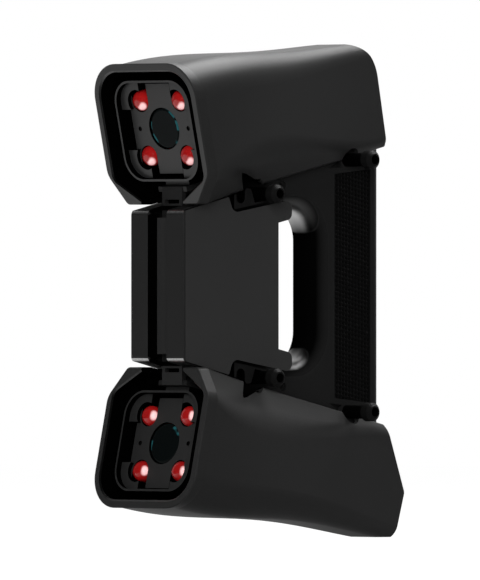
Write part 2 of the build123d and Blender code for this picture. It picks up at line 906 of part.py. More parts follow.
def make_side_plate(side):
    """Flat cover on one side of the laser block, notched over the front posts, with two ears behind."""
    notch_low = plate_z(plate_top_length) - notch_drop
    ear_end = plate_rear + ear_length
    ear_top = notch_low + notch_tan * (ear_end - notch_front)
    ear_low = plate_rear_height + ear_tan * ear_length
    with BuildPart() as plate:
        with BuildSketch(flank_plane(side, side * plate_inner)) as drawn:
            with BuildLine():
                Polyline(
                    (block_lip + slip, 0),
                    (block_lip + slip, plate_z(block_lip)),
                    (plate_top_length, plate_z(plate_top_length)),
                    (notch_front, notch_low),
                    (ear_end, ear_top),
                    (ear_end, ear_low),
                    (plate_rear, plate_rear_height),
                    (plate_rear, 0),
                    close=True,
                )
            make_face()
            rounded = [
                ((ear_end, ear_top), ear_radius),
                ((ear_end, ear_low), ear_low_radius),
                ((plate_top_length, plate_z(plate_top_length)), notch_top_radius),
                ((notch_front, notch_low), notch_low_radius),
            ]
            for corner, radius in rounded:
                fillet(drawn.vertices().sort_by_distance(corner)[0], radius)
            mirror(about=Plane.XZ)
        extrude(amount=plate_wall)
    return plate.part


def make_posts(side):
    """Four posts on one side of the handle shells, each with a bevelled head and a tapped bore."""
    places = [(y, end * z) for y, z in post_places() for end in ENDS.values()]
    with BuildPart() as posts:
        with BuildSketch(flank_plane(side, side * half_handle)):
            with Locations(*[(y, z) for y, z in places]):
                Circle(post_shank_diameter / 2)
        extrude(amount=post_reach)
        with BuildSketch(flank_plane(side, side * (half_handle + post_reach - post_head_length))):
            with Locations(*places):
                Circle(post_head_diameter / 2)
        extrude(amount=post_head_length)
        outwards = Axis((0, 0, 0), (side, 0, 0))
        chamfer(posts.edges().filter_by(GeomType.CIRCLE).group_by(outwards)[-1], post_bevel)
        with BuildSketch(flank_plane(side, side * (half_handle + post_reach - post_bore_depth))):
            with Locations(*places):
                Circle(post_bore / 2)
        extrude(amount=post_bore_depth + overrun, mode=Mode.SUBTRACT)
    return posts.part


def fork_outline():
    """Flank outline of a fork: a sloping base with a thin prong, an open round-bottomed slot and a tab."""
    base_end = fork_front + fork_base_length
    tab_front = fork_front + fork_prong + fork_slot
    tab_rear = tab_front + fork_tab
    tab_top = tab_front + fork_tab * fork_tab_top_share
    slot_middle = fork_front + fork_prong + fork_slot / 2
    slot_low = fork_low + notch_tan * fork_slot + fork_base
    with BuildSketch() as drawn:
        with BuildLine():
            Polyline(
                (fork_front, fork_low),
                (base_end, fork_low + notch_tan * fork_base_length),
                (base_end, fork_low + notch_tan * fork_base_length + fork_base / 2),
                (tab_rear, fork_low + notch_tan * (tab_rear - fork_front) + fork_base / 2),
                (tab_top, fork_top),
                (tab_front, fork_top),
                (tab_front, fork_prong_top),
                (fork_front, fork_prong_top),
                close=True,
            )
        make_face()
        fillet(drawn.vertices().group_by(Axis.Y)[-1], fork_tab_round)
        with Locations((slot_middle, slot_low + fork_slot / 2)):
            Circle(fork_slot / 2, mode=Mode.SUBTRACT)
            Rectangle(fork_slot, fork_top, align=(Align.CENTER, Align.MIN), mode=Mode.SUBTRACT)
    return drawn.sketch


def make_forks(side):
    """Two slotted forks in the notches of one side plate, each on a ledge from the handle shell."""
    base_end = fork_front + fork_base_length
    with BuildPart() as forks:
        for end in ENDS.values():
            with BuildSketch(flank_plane(end, side * half_handle)):
                with BuildLine():
                    Polyline(
                        (fork_front, fork_low),
                        (base_end, fork_low + notch_tan * fork_base_length),
                        (base_end, fork_low + notch_tan * fork_base_length + fork_base / 2),
                        (fork_front, fork_low + fork_base / 2),
                        close=True,
                    )
                make_face()
            extrude(amount=side * end * fork_reach)
            with BuildSketch(flank_plane(end, side * (half_handle + fork_reach))):
                add(fork_outline())
            extrude(amount=-side * end * fork_thickness)
    return forks.part


for side_name, side_sign in SIDES.items():
    save(make_side_plate(side_sign), f"{side_name}_side_plate")
    save(make_posts(side_sign), f"{side_name}_posts")
    save(make_forks(side_sign), f"{side_name}_forks")


# Handle: one solid first, then split down the middle into two half shells
shell_screws = [
    (shell_screw_front_y, shell_screw_front_z),
    (shell_screw_front_y, -shell_screw_front_z),
    (shell_screw_rear_y, shell_screw_rear_z),
    (shell_screw_rear_y, -shell_screw_rear_z),
]


def handle_half_outline():
    """Flank outline of the handle body above the mid-plane, with the tongue that enters the arm."""
    top_front = floor_z(tongue_front)
    top_rear = floor_z(tongue_rear)
    with BuildSketch() as drawn:
        with BuildLine():
            Polyline(
                (block_depth, 0),
                (block_depth, block_z(block_depth) - arm_gap),
                (tongue_front, top_front - arm_gap),
                (tongue_front, top_front + tongue_height - arm_gap),
                (tongue_rear, top_rear + tongue_height - arm_gap),
                (tongue_rear, top_rear - arm_gap),
                (handle_rear, floor_z(handle_rear) - arm_gap),
                (handle_rear, 0),
                close=True,
            )
        make_face()
        mirror(about=Plane.XZ)
    return drawn.sketch


def grip_outline(gap):
    """Flank outline of a grip panel, larger by a gap all round."""
    front_half = floor_z(grip_front) - grip_front_gap + gap
    rear_half = floor_z(grip_rear) - grip_rear_gap + gap
    with BuildSketch() as drawn:
        with BuildLine():
            Polyline(
                (grip_front - gap, -front_half),
                (grip_rear + gap, -rear_half),
                (grip_rear + gap, rear_half),
                (grip_front - gap, front_half),
                close=True,
            )
        make_face()
    return drawn.sketch


def back_plane(depth):
    """Plane on the back of the handle, facing backwards, depth below its surface: x across, y up."""
    return Plane(origin=(0, nose_y + handle_rear - depth, mid_z), x_dir=(-1, 0, 0), z_dir=(0, 1, 0))


front_cavity_front = block_depth + front_cavity_wall
rear_cavity_rear = handle_rear - rear_cavity_wall
rear_cavity_height = 2 * (floor_z(rear_cavity_front) - rear_cavity_gap)
cavity_half = half_handle - cavity_skin
opening_length = handle_front - grip_opening_front
with BuildPart() as handle:
    with BuildSketch(flank_plane(1)):
        add(handle_half_outline())
    extrude(amount=half_handle, both=True)
    with BuildSketch(flank_plane(1)):
        with Locations((grip_opening_front + opening_length / 2, 0)):
            RectangleRounded(opening_length, grip_opening_height, grip_opening_radius)
    extrude(amount=handle_width, both=True, mode=Mode.SUBTRACT)
    for x_sign in SIDES.values():
        flat = handle.faces().sort_by(Axis.X)[-1 if x_sign > 0 else 0]
        fillet(flat.inner_wires()[0].edges(), grip_lip_radius)
    rear_edges = handle.faces().sort_by(Axis.Y)[-1].edges().filter_by(Axis.Z)
    fillet(rear_edges, handle_rear_radius)
    for x_sign in SIDES.values():
        with BuildSketch(flank_plane(1, x_sign * half_handle)):
            with Locations(((pad_front + pad_rear) / 2, 0)):
                Rectangle(pad_rear - pad_front, pad_height)
        extrude(amount=x_sign * (plate_inner - half_handle))
        with BuildSketch(flank_plane(1, x_sign * (half_handle - grip_thickness - grip_inset))):
            add(grip_outline(slip))
        extrude(amount=x_sign * overrun * 2, mode=Mode.SUBTRACT)
    with BuildSketch(flank_plane(1)):
        with Locations(((front_cavity_front + front_cavity_rear) / 2, 0)):
            RectangleRounded(front_cavity_rear - front_cavity_front, front_cavity_height, cavity_radius)
        with Locations(((rear_cavity_front + rear_cavity_rear) / 2, 0)):
            RectangleRounded(rear_cavity_rear - rear_cavity_front, rear_cavity_height, cavity_radius)
    extrude(amount=cavity_half, both=True, mode=Mode.SUBTRACT)
    with BuildSketch(back_plane(0)):
        with Locations((0, panel_centre_z)):
            RectangleRounded(panel_width + 2 * slip, panel_height + 2 * slip, panel_radius)
    extrude(amount=-(panel_thickness + panel_sink), mode=Mode.SUBTRACT)
    with BuildSketch(back_plane(0)):
        with Locations((0, panel_centre_z)):
            Rectangle(panel_width - 2 * window_margin, panel_height - 2 * panel_radius)
    extrude(amount=-(rear_cavity_wall + overrun), mode=Mode.SUBTRACT)
    with BuildSketch(flank_plane(1, -shell_screw_grip - slip)):
        with Locations(*shell_screws):
            Circle(shell_screw_diameter / 2 + slip)
    extrude(amount=handle_width, mode=Mode.SUBTRACT)
    with BuildSketch(flank_plane(1, half_handle - shell_screw_sink - shell_screw_head_height)):
        with Locations(*shell_screws):
            Circle(shell_screw_head / 2 + slip)
    extrude(amount=handle_width, mode=Mode.SUBTRACT)
    for x_sign in SIDES.values():
        for end_sign in ENDS.values():
            groove_tip = (x_sign * half_handle, groove_tip_y, end_sign * groove_tip_z)
            groove_foot = (x_sign * half_handle, groove_foot_y, end_sign * groove_foot_z)
            add(pointed_cut(groove_tip, groove_foot, groove_foot_radius), mode=Mode.SUBTRACT)

board_x = -board_setback
board_places = [
    (y, z)
    for y in (front_cavity_front + board_margin + boss_inset, front_cavity_rear - board_margin - boss_inset)
    for z in (
        front_cavity_height / 2 - board_margin - boss_inset,
        board_margin + boss_inset - front_cavity_height / 2,
    )
]

with BuildPart() as right_shell:
    add(handle.part)
    split(bisect_by=Plane.YZ, keep=Keep.TOP)
save(right_shell.part, "handle_right_shell")

with BuildPart() as left_shell:
    add(handle.part)
    split(bisect_by=Plane.YZ, keep=Keep.BOTTOM)
    with BuildSketch(flank_plane(1, -cavity_half)):
        with Locations(*board_places):
            Circle(boss_diameter / 2)
    extrude(amount=cavity_half - board_setback)
save(left_shell.part, "handle_left_shell")

with BuildPart() as shell_screw_set:
    head_x = half_handle - shell_screw_sink - shell_screw_head_height
    with BuildSketch(flank_plane(1, head_x)):
        with Locations(*shell_screws):
            Circle(shell_screw_diameter / 2)
    extrude(amount=-head_x - shell_screw_grip)
    with BuildSketch(flank_plane(1, head_x)):
        with Locations(*shell_screws):
            Circle(shell_screw_head / 2)
    extrude(amount=shell_screw_head_height)
    with BuildSketch(flank_plane(1, head_x + shell_screw_head_height)):
        with Locations(*shell_screws):
            RegularPolygon(shell_screw_socket, 6)
    extrude(amount=-shell_screw_socket_depth, mode=Mode.SUBTRACT)
save(shell_screw_set.part, "handle_screws")

for side_name, side_sign in SIDES.items():
    with BuildPart() as grip:
        with BuildSketch(flank_plane(1, side_sign * (half_handle - grip_thickness - grip_inset))):
            add(grip_outline(0))
        extrude(amount=side_sign * grip_thickness)
    save(grip.part, f"{side_name}_grip_panel")


# Main board with its processor and heat spreader
board_length = front_cavity_rear - front_cavity_front - 2 * board_margin
board_y = (front_cavity_front + front_cavity_rear) / 2
with BuildPart() as board:
    with BuildSketch(flank_plane(1, board_x)):
        with Locations((board_y, 0)):
            Rectangle(board_length, front_cavity_height - 2 * board_margin)
    extrude(amount=board_thickness)
save(board.part, "main_board")

with BuildPart() as chip:
    with BuildSketch(flank_plane(1, board_x + board_thickness)):
        with Locations((board_y, 0)):
            Rectangle(chip_size, chip_size)
    extrude(amount=chip_thickness)
save(chip.part, "processor_chip")

spreader_x = board_x + board_thickness + chip_thickness
spreader_reach = cavity_half - seat_gap - spreader_x
with BuildPart() as spreader:
    with BuildSketch(flank_plane(1, spreader_x)):
        with Locations((board_y, 0)):
            Rectangle(spreader_size, spreader_size)
    extrude(amount=spreader_reach)
    with BuildSketch(flank_plane(1, spreader_x + spreader_base)):
        with Locations((board_y, 0)):
            with GridLocations(0, spreader_fin_spacing, 1, int(spreader_size / spreader_fin_spacing)):
                Rectangle(spreader_size + overrun, spreader_fin_gap)
    extrude(amount=spreader_reach, mode=Mode.SUBTRACT)
save(spreader.part, "heat_spreader")


# Controls on the back of the handle
buttons = {
    "scan_button": (scan_diameter, scan_z),
    "plus_button": (step_diameter, plus_z),
    "minus_button": (step_diameter, minus_z),
}
panel_inner = panel_sink + panel_thickness
with BuildPart() as panel:
    with BuildSketch(back_plane(panel_inner)):
        with Locations((0, panel_centre_z)):
            RectangleRounded(panel_width, panel_height, panel_radius)
        for diameter, z in buttons.values():
            with Locations((0, z)):
                Circle(diameter / 2 + seat_gap, mode=Mode.SUBTRACT)
        with Locations((0, status_z)):
            Circle(status_diameter / 2 + slip, mode=Mode.SUBTRACT)
    extrude(amount=panel_thickness)
save(panel.part, "control_panel")

flange_front = panel_inner + seat_gap + button_flange_thickness
for button_name, (diameter, z) in buttons.items():
    with BuildPart() as button:
        with BuildSketch(back_plane(flange_front)):
            with Locations((0, z)):
                Circle(diameter / 2)
        extrude(amount=flange_front + button_proud)
        fillet(button.edges().group_by(Axis.Y)[-1], button_round)
        with BuildSketch(back_plane(flange_front)):
            with Locations((0, z)):
                Circle(diameter / 2 + button_flange)
        extrude(amount=button_flange_thickness)
    save(button.part, button_name)

with BuildPart() as status:
    with BuildSketch(back_plane(panel_inner)):
        with Locations((0, status_z)):
            Circle(status_diameter / 2)
    extrude(amount=panel_inner)
save(status.part, "status_light")

switch_top = flange_front + button_travel + seat_gap
button_board_back = switch_top + switch_height
with BuildPart() as button_board:
    with BuildSketch(back_plane(button_board_back + button_board_thickness)):
        with Locations((0, panel_centre_z)):
            Rectangle(2 * (cavity_half - slip), button_board_height)
    extrude(amount=button_board_thickness)
    with BuildSketch(back_plane(button_board_back)):
        for diameter, z in buttons.values():
            with Locations((0, z)):
                Rectangle(switch_size, switch_size)
    extrude(amount=switch_height)
save(button_board.part, "button_board")


# Inlet for power and data, in the heel of the lower arm
with BuildPart() as inlet:
    with BuildSketch(inlet_plane()):
        Circle(inlet_diameter / 2)
    extrude(amount=-inlet_length)
    with BuildSketch(inlet_plane()):
        Circle(inlet_bore / 2)
    extrude(amount=-inlet_bore_depth, mode=Mode.SUBTRACT)
save(inlet.part, "inlet_socket")
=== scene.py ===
"""Looks of a black hand-held stereo laser scanner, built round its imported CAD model. Units are metres."""

import json
import math

import bpy
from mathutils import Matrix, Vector


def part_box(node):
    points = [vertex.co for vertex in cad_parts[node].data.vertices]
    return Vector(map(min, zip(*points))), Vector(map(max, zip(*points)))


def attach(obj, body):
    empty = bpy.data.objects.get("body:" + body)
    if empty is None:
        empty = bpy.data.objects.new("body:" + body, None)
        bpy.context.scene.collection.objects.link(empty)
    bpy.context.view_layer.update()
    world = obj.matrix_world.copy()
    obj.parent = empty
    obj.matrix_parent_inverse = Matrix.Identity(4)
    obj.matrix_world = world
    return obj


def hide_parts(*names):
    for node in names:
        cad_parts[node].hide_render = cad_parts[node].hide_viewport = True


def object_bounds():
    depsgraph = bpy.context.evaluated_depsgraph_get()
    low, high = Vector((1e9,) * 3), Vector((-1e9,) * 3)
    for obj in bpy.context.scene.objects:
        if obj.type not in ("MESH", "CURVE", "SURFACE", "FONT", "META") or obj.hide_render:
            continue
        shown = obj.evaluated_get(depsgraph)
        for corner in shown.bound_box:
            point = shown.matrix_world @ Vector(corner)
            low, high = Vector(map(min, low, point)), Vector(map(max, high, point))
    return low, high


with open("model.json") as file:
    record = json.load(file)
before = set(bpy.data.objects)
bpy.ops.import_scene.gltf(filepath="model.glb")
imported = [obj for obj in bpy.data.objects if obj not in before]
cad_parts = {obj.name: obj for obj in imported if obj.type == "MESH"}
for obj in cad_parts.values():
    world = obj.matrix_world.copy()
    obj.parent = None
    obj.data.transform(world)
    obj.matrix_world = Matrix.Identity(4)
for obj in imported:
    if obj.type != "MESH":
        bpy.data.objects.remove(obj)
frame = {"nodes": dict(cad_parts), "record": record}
cad_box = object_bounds()
nodes = frame["nodes"]

BODY = "scanner_body"
MM = 0.001
ENDS = {"upper": 1, "lower": -1}
SIDES = {"right": 1, "left": -1}

# Where the CAD's own drawing starts: the nose face and the mid-plane between the heads
NOSE_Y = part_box("laser_housing")[0].y
MID_Z = sum(corner.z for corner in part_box("laser_housing")) / 2

# Camera: far away with a long lens, level, from the front right
VIEW_ANGLE = math.radians(46.5)
VIEW_DISTANCE = 10.0
VIEW_HEIGHT = 0.3416
VIEW_TARGET = Vector((0.0, NOSE_Y + 0.067, MID_Z - 0.0024))
VIEW_REACH = 50.0
SENSOR = 0.036

# Floor: mostly its own white to the camera, and for the rest lit, so that it keeps a shadow
FLOOR_DROP, FLOOR_SIZE = 0.0005, 6.0
FLOOR_LEVEL, FLOOR_ROUGHNESS = 0.45, 0.9
FLOOR_GLOW, FLOOR_WHITE = 0.85, 1.16

# Where the floor's lit side begins to dim in reflections, and where it is dim
FLOOR_LIT_X, FLOOR_DIM_X = -0.2, 0.1
FLOOR_LIT_REACH, FLOOR_DIM_REACH = 0.85, 1.5

# Studio: white behind the object, and dim in reflections on the side where the camera stands
BEHIND = Vector((-math.sin(VIEW_ANGLE), math.cos(VIEW_ANGLE), 0.0))
AMBIENT = 0.14
ROOM_DIM = 0.025
ROOM_DIM_TURN, ROOM_WHITE_TURN = 0.2, 0.8
SOFTBOX_SIZE, SOFTBOX_WATTS = 1.0, 28.0
TOP_LIGHT = (-0.1, 0.6, 1.3)
CAMERA_SIDE_LIGHT = (1.2, -1.4, 0.5)
WHITE = (1.0, 1.0, 1.0, 1.0)

# Grain of a surface: scale of its noise, depth and strength
MOULDED = (2600.0, 0.00004, 1.0)
FAINT = (900.0, 0.00003, 0.5)
DOME = (700.0, 0.00003, 0.3)
GRAIN_DETAIL, GRAIN_ROUGHNESS = 3.0, 0.6
NOISE_SPAN = (0.35, 0.65)
TONE_SHARE = 0.2

# Lamps: a red dome with a painted highlight, paler and weakly glowing on the side that faces a given
# direction
LAMP_RED, LAMP_HIGHLIGHT_PALE = (0.36, 0.008, 0.008), (0.95, 0.6, 0.6)
LAMP_HIGHLIGHT_GLOW_COLOUR, LAMP_HIGHLIGHT_GLOW = (1.0, 0.5, 0.5), 0.4
LAMP_HIGHLIGHT_SPAN = (0.84, 0.98)
LAMP_COAT_ROUGHNESS = 0.05
# Sides of the painted highlight on the upper and the lower lamps
UPPER_HIGHLIGHT_SIDE = Vector((0.45, -0.62, -0.64))
LOWER_HIGHLIGHT_SIDE = Vector((0.8, -0.6, 0.1))

# Lens glass: painted reflections of its coating, as teal patches near its edge, which is measured from its
# middle in the lens plane
LENS_DARK, LENS_TEAL_REFLECTION = (0.003, 0.0042, 0.0043), (0.014, 0.085, 0.095)
LENS_REFLECTION_PATCHES, LENS_DETAIL = 120.0, 1.5
LENS_EDGE, LENS_REFLECTION_SPAN = (0.33, 0.43), (0.53, 0.57)
LENS_PLANE, LENS_MIDDLE = (1.0, 0.0, 1.0), (-0.5, 0.0, -0.5)

# Lip of the finger opening, with a painted sheen and painted lighter flanks: its tones, the level of its
# metal, the share of sheen from which it is all metal, and its share of sheen at stops from facing down, 0,
# to facing up, 1
LIP_BLACK, LIP_PAINTED_FLANK_GREY = 0.001, 0.011
LIP_FLANK = (0.6, 0.97)
LIP_PAINTED_SHEEN, LIP_ALL_METAL = 0.42, 1 / 12
LIP_STOPS = ((0.1, 1.0), (0.38, 0.0), (0.77, 0.0), (0.96, 0.6))

# Painted shade in the gap behind the front posts, where the handle turns dark: its start, its reach and its
# depth
GAP_Y, GAP_REACH, GAP_SHADE_DIM = NOSE_Y + 0.07174, 0.008, 0.05


def fill(tree, socket, value):
    """Gives a socket a constant, or a link from another socket."""
    if isinstance(value, bpy.types.NodeSocket):
        tree.links.new(value, socket)
    else:
        socket.default_value = value


def add_node(tree, kind, **values):
    """A shader node with some of its input sockets or settings filled in."""
    made = tree.nodes.new(kind)
    for key, value in values.items():
        if key in made.inputs:
            fill(tree, made.inputs[key], value)
        else:
            setattr(made, key, value)
    return made


def number(tree, operation, *values):
    """Number worked out from sockets or constants."""
    made = add_node(tree, "ShaderNodeMath", operation=operation)
    for socket, value in zip(made.inputs, values):
        fill(tree, socket, value)
    return made.outputs["Value"]


def vector(tree, operation, *values):
    """Vector worked out from sockets or constants, or a number for a dot product or a length."""
    made = add_node(tree, "ShaderNodeVectorMath", operation=operation)
    for socket, value in zip(made.inputs, values):
        fill(tree, socket, value)
    return made.outputs["Value" if operation in ("DOT_PRODUCT", "LENGTH") else "Vector"]


def map_range(tree, value, span, result=(0.0, 1.0), smooth=True):
    """Value carried over from one span to another, held at the ends."""
    made = add_node(tree, "ShaderNodeMapRange", Value=value)
    made.interpolation_type = "SMOOTHSTEP" if smooth else "LINEAR"
    for name, limit in zip(("From Min", "From Max", "To Min", "To Max"), (*span, *result)):
        fill(tree, made.inputs[name], limit)
    return made.outputs["Result"]


def geometry(tree, name):
    """Place or direction of the surface, in the frame of the whole object."""
    return add_node(tree, "ShaderNodeNewGeometry").outputs[name]


def component(tree, source, axis):
    """One component of a vector."""
    return add_node(tree, "ShaderNodeSeparateXYZ", Vector=source).outputs[axis]


def colour_ramp(tree, level, stops):
    """Colour that follows a level through stops, given in rising order."""
    ramp = add_node(tree, "ShaderNodeValToRGB", Fac=level)
    elements = ramp.color_ramp.elements
    for i, (position, colour) in enumerate(stops):
        stop = elements[i] if i < len(elements) else elements.new(position)
        stop.position = position
        stop.color = (*colour, 1.0)
    return ramp.outputs["Color"]


def grey(level):
    """Neutral colour of one level."""
    return (level, level, level)


def shader(name, colour, roughness, specular=0.5, metallic=0.0, coat=0.0):
    """Node material with constants on its shader's own sockets, its shader and its node tree."""
    material = bpy.data.materials.new(name)
    material.use_nodes = True
    tree = material.node_tree
    surface = tree.nodes["Principled BSDF"]
    surface.inputs["Base Color"].default_value = (*colour, 1.0)
    surface.inputs["Roughness"].default_value = roughness
    surface.inputs["Specular IOR Level"].default_value = specular
    surface.inputs["Metallic"].default_value = metallic
    surface.inputs["Coat Weight"].default_value = coat
    return material, surface, tree


def grain(surface, tree, scale, depth, strength):
    """Fine moulded or blasted grain, as bump from noise in the object's own space. Gives the noise."""
    place = add_node(tree, "ShaderNodeTexCoord").outputs["Object"]
    noise = add_node(tree, "ShaderNodeTexNoise", Vector=place, Scale=scale)
    noise.inputs["Detail"].default_value = GRAIN_DETAIL
    noise.inputs["Roughness"].default_value = GRAIN_ROUGHNESS
    bump = add_node(tree, "ShaderNodeBump", Strength=strength, Distance=depth, Height=noise.outputs["Fac"])
    tree.links.new(bump.outputs["Normal"], surface.inputs["Normal"])
    return noise.outputs["Fac"]


def tone_spread(surface, tree, level, dark, light, span=NOISE_SPAN):
    """Colour differences that follow a level, such as a noise."""
    tones = colour_ramp(tree, level, zip(span, (dark, light)))
    tree.links.new(tones, surface.inputs["Base Color"])


def uneven(name, colour, texture, *values):
    """Surface with a grain, and with small differences of tone that follow it."""
    material, surface, tree = shader(name, colour, *values)
    noise = grain(surface, tree, *texture)
    dark = [(1 - TONE_SHARE) * part for part in colour]
    light = [(1 + TONE_SHARE) * part for part in colour]
    tone_spread(surface, tree, noise, dark, light)
    return material


def grained_plastic(name, level, roughness, specular):
    """Dark moulded plastic with a fine grain."""
    return uneven(name, grey(level), MOULDED, roughness, specular)


def finished(name, colour, roughness, specular=0.5, metallic=0.0, coat=0.0):
    """Smoother surface with a faint unevenness."""
    return uneven(name, colour, FAINT, roughness, specular, metallic, coat)


def paint_gap_shade(material):
    """Paints shade into a material: darker towards the front, where it runs into a narrow gap."""
    tree = material.node_tree
    colour = tree.nodes["Principled BSDF"].inputs["Base Color"]
    source = colour.links[0].from_socket
    along = component(tree, geometry(tree, "Position"), "Y")
    dim = map_range(tree, along, (GAP_Y, GAP_Y + GAP_REACH), (GAP_SHADE_DIM, 1.0))
    tree.links.new(vector(tree, "MULTIPLY", source, dim), colour)


def red_lamp(name, highlight_side):
    """Clear red dome of a lamp, with a painted highlight: paler and weakly glowing on the side that faces a
    given direction.
    """
    material, surface, tree = shader(name, LAMP_RED, roughness=0.16, specular=0.3, coat=0.4)
    surface.inputs["Coat Roughness"].default_value = LAMP_COAT_ROUGHNESS
    surface.inputs["Emission Color"].default_value = (*LAMP_HIGHLIGHT_GLOW_COLOUR, 1.0)
    grain(surface, tree, *DOME)
    turn = vector(tree, "DOT_PRODUCT", geometry(tree, "Normal"), highlight_side.normalized())
    highlight_share = map_range(tree, turn, LAMP_HIGHLIGHT_SPAN)
    tone_spread(surface, tree, highlight_share, LAMP_RED, LAMP_HIGHLIGHT_PALE, (0.0, 1.0))
    glow = map_range(tree, highlight_share, (0.0, 1.0), (0.0, LAMP_HIGHLIGHT_GLOW), smooth=False)
    tree.links.new(glow, surface.inputs["Emission Strength"])
    return material


def lens_glass():
    """Coated front glass of a camera lens: nearly black, with painted reflections of its coating as teal
    patches near its edge.
    """
    material, surface, tree = shader("lens_glass", LENS_DARK, roughness=0.2, specular=0.05)
    place = add_node(tree, "ShaderNodeTexCoord").outputs
    noise = add_node(tree, "ShaderNodeTexNoise", Vector=place["Object"], Scale=LENS_REFLECTION_PATCHES)
    noise.inputs["Detail"].default_value = LENS_DETAIL
    across = vector(tree, "MULTIPLY_ADD", place["Generated"], LENS_PLANE, LENS_MIDDLE)
    edge = map_range(tree, vector(tree, "LENGTH", across), LENS_EDGE, smooth=False)
    level = number(tree, "MULTIPLY", edge, noise.outputs["Fac"])
    tone_spread(surface, tree, level, LENS_DARK, LENS_TEAL_REFLECTION, LENS_REFLECTION_SPAN)
    return material


def lip_painted_sheen():
    """Black lip with a painted sheen, metal where it faces down and less where it faces up, and painted
    lighter grey at the flanks.
    """
    material, surface, tree = shader("lip_painted_sheen", grey(LIP_BLACK), roughness=0.38, specular=0.0)
    grain(surface, tree, *MOULDED)
    normal = geometry(tree, "Normal")
    flank = number(tree, "ABSOLUTE", component(tree, normal, "X"))
    painted_flank_tone = map_range(tree, flank, LIP_FLANK, (LIP_BLACK, LIP_PAINTED_FLANK_GREY), smooth=False)
    upwards = map_range(tree, component(tree, normal, "Z"), (-1.0, 1.0), smooth=False)
    sheen = colour_ramp(tree, upwards, [(position, grey(share)) for position, share in LIP_STOPS])
    tone = number(tree, "MULTIPLY_ADD", sheen, LIP_PAINTED_SHEEN, painted_flank_tone)
    metal = map_range(tree, sheen, (0.0, LIP_ALL_METAL), smooth=False)
    tree.links.new(tone, surface.inputs["Base Color"])
    tree.links.new(metal, surface.inputs["Metallic"])
    return material


# Moulded slots of the record: level of grey, roughness and specular level
PLASTICS = {
    "arm_plastic": (0.019, 0.42, 0.22),
    "rim_plastic": (0.02, 0.33, 0.5),
    "ring_plastic": (0.018, 0.33, 0.5),
    "lens_plate_plastic": (0.019, 0.36, 0.5),
    "chassis_metal": (0.012, 0.4, 0.3),
    "housing_plastic": (0.0165, 0.4, 0.12),
    # Window lighter than the housing: painted light against the shade of its recessed channel
    "window_glass": (0.026, 0.35, 0.12),
    "side_plate_metal": (0.029, 0.42, 0.2),
    # Near-black posts: painted shade on their shanks
    "post_metal": (0.0006, 0.45, 0.02),
    "fork_plastic": (0.008, 0.45, 0.15),
    "handle_plastic": (0.011, 0.42, 0.15),
    "grip_rubber": (0.002, 0.45, 0.12),
    "panel_plastic": (0.008, 0.3, 0.4),
    "step_button_plastic": (0.05, 0.45, 0.3),
}

# Smoother slots of the record: colour, roughness, and where they differ specular level, metal and coat
FINISHES = {
    "circuit_board": ((0.01, 0.09, 0.03), 0.4),
    "dark_screw": (grey(0.002), 0.45, 0.1),
    "black_metal": (grey(0.006), 0.45, 0.2),
    "camera_metal": (grey(0.03), 0.5, 0.5, 0.5),
    "laser_brass": ((0.55, 0.35, 0.1), 0.3, 0.5, 1.0),
    "clear_glass": ((0.6, 0.65, 0.68), 0.05),
    "sink_metal": (grey(0.35), 0.4, 0.5, 1.0),
    "steel_screw": (grey(0.02), 0.35, 0.5, 0.6),
    "chip_plastic": (grey(0.01), 0.5),
    "scan_button_plastic": ((0.16, 0.006, 0.006), 0.4, 0.4),
    "status_lens": ((0.05, 0.35, 0.08), 0.15, 0.5, 0.0, 1.0),
    "socket_metal": (grey(0.2), 0.35, 0.5, 1.0),
}

MATERIALS = {name: grained_plastic(name, *values) for name, values in PLASTICS.items()}
MATERIALS.update({name: finished(name, *values) for name, values in FINISHES.items()})
MATERIALS["red_lamp"] = red_lamp("red_lamp", UPPER_HIGHLIGHT_SIDE)
MATERIALS["lens_glass"] = lens_glass()
# Painted shade on the handle's front, in the gap behind the front posts
paint_gap_shade(MATERIALS["handle_plastic"])

# Painted shade: a near-black for faces that lie in shade, such as inner walls, the channel and thin edges
PAINTED_SHADE_BLACK = grained_plastic("painted_shade_black", 0.0005, 0.8, 0.01)
# Lower lamps: the same red dome, with its painted highlight on another side
LOWER_LAMP_HIGHLIT = red_lamp("lower_red_lamp", LOWER_HIGHLIGHT_SIDE)
# Painted light: a lighter tone of the posts' metal for their outer ends, which catch the light
POST_END_LIT = grained_plastic("post_end", 0.0055, 0.45, 0.1)
# Painted sheen and painted lighter flanks for the lip of the finger opening
LIP_PAINTED_SHEEN_MATERIAL = lip_painted_sheen()
# Painted highlight: a bright metal sheen for the rounds of the laser block's nose
NOSE_PAINTED_SHEEN = finished("nose_painted_sheen", grey(0.42), 0.3, metallic=1.0)
# Painted highlight: a metal sheen for the inner bevels of the bezels
BEVEL_PAINTED_SHEEN = finished("bevel_painted_sheen", grey(0.1), 0.35, metallic=1.0)
MARK_WHITE = finished("mark_white", grey(0.5), 0.5)


def dress_node(name, slot):
    """Gives a CAD node its material and smooth shading."""
    mesh = nodes[name].data
    mesh.materials.clear()
    mesh.materials.append(MATERIALS[slot])
    mesh.polygons.foreach_set("use_smooth", [True] * len(mesh.polygons))


def paint_faces(name, material, wanted):
    """One more material on those faces of a CAD node whose centre and normal pass a test."""
    mesh = nodes[name].data
    mesh.materials.append(material)
    index = len(mesh.materials) - 1
    for face in mesh.polygons:
        if wanted(face.center, face.normal):
            face.material_index = index


def is_any(centre, normal):
    """Test that every face passes."""
    return True


# Heads: their turn towards each other, and the height of a face's middle above or below the mid-plane
TOE_IN = math.radians(12.8)
FACE_Z = 0.08975

# Limits of how far a head's face looks outwards, for its upright walls and its narrow bevels
WALL, OUTER_WALL, BEVEL = (-0.6, 0.6), (-0.5, 0.5), (0.5, 0.93)
OUTSIDE, INSIDE, EITHER_SIDE = 1, -1, 0


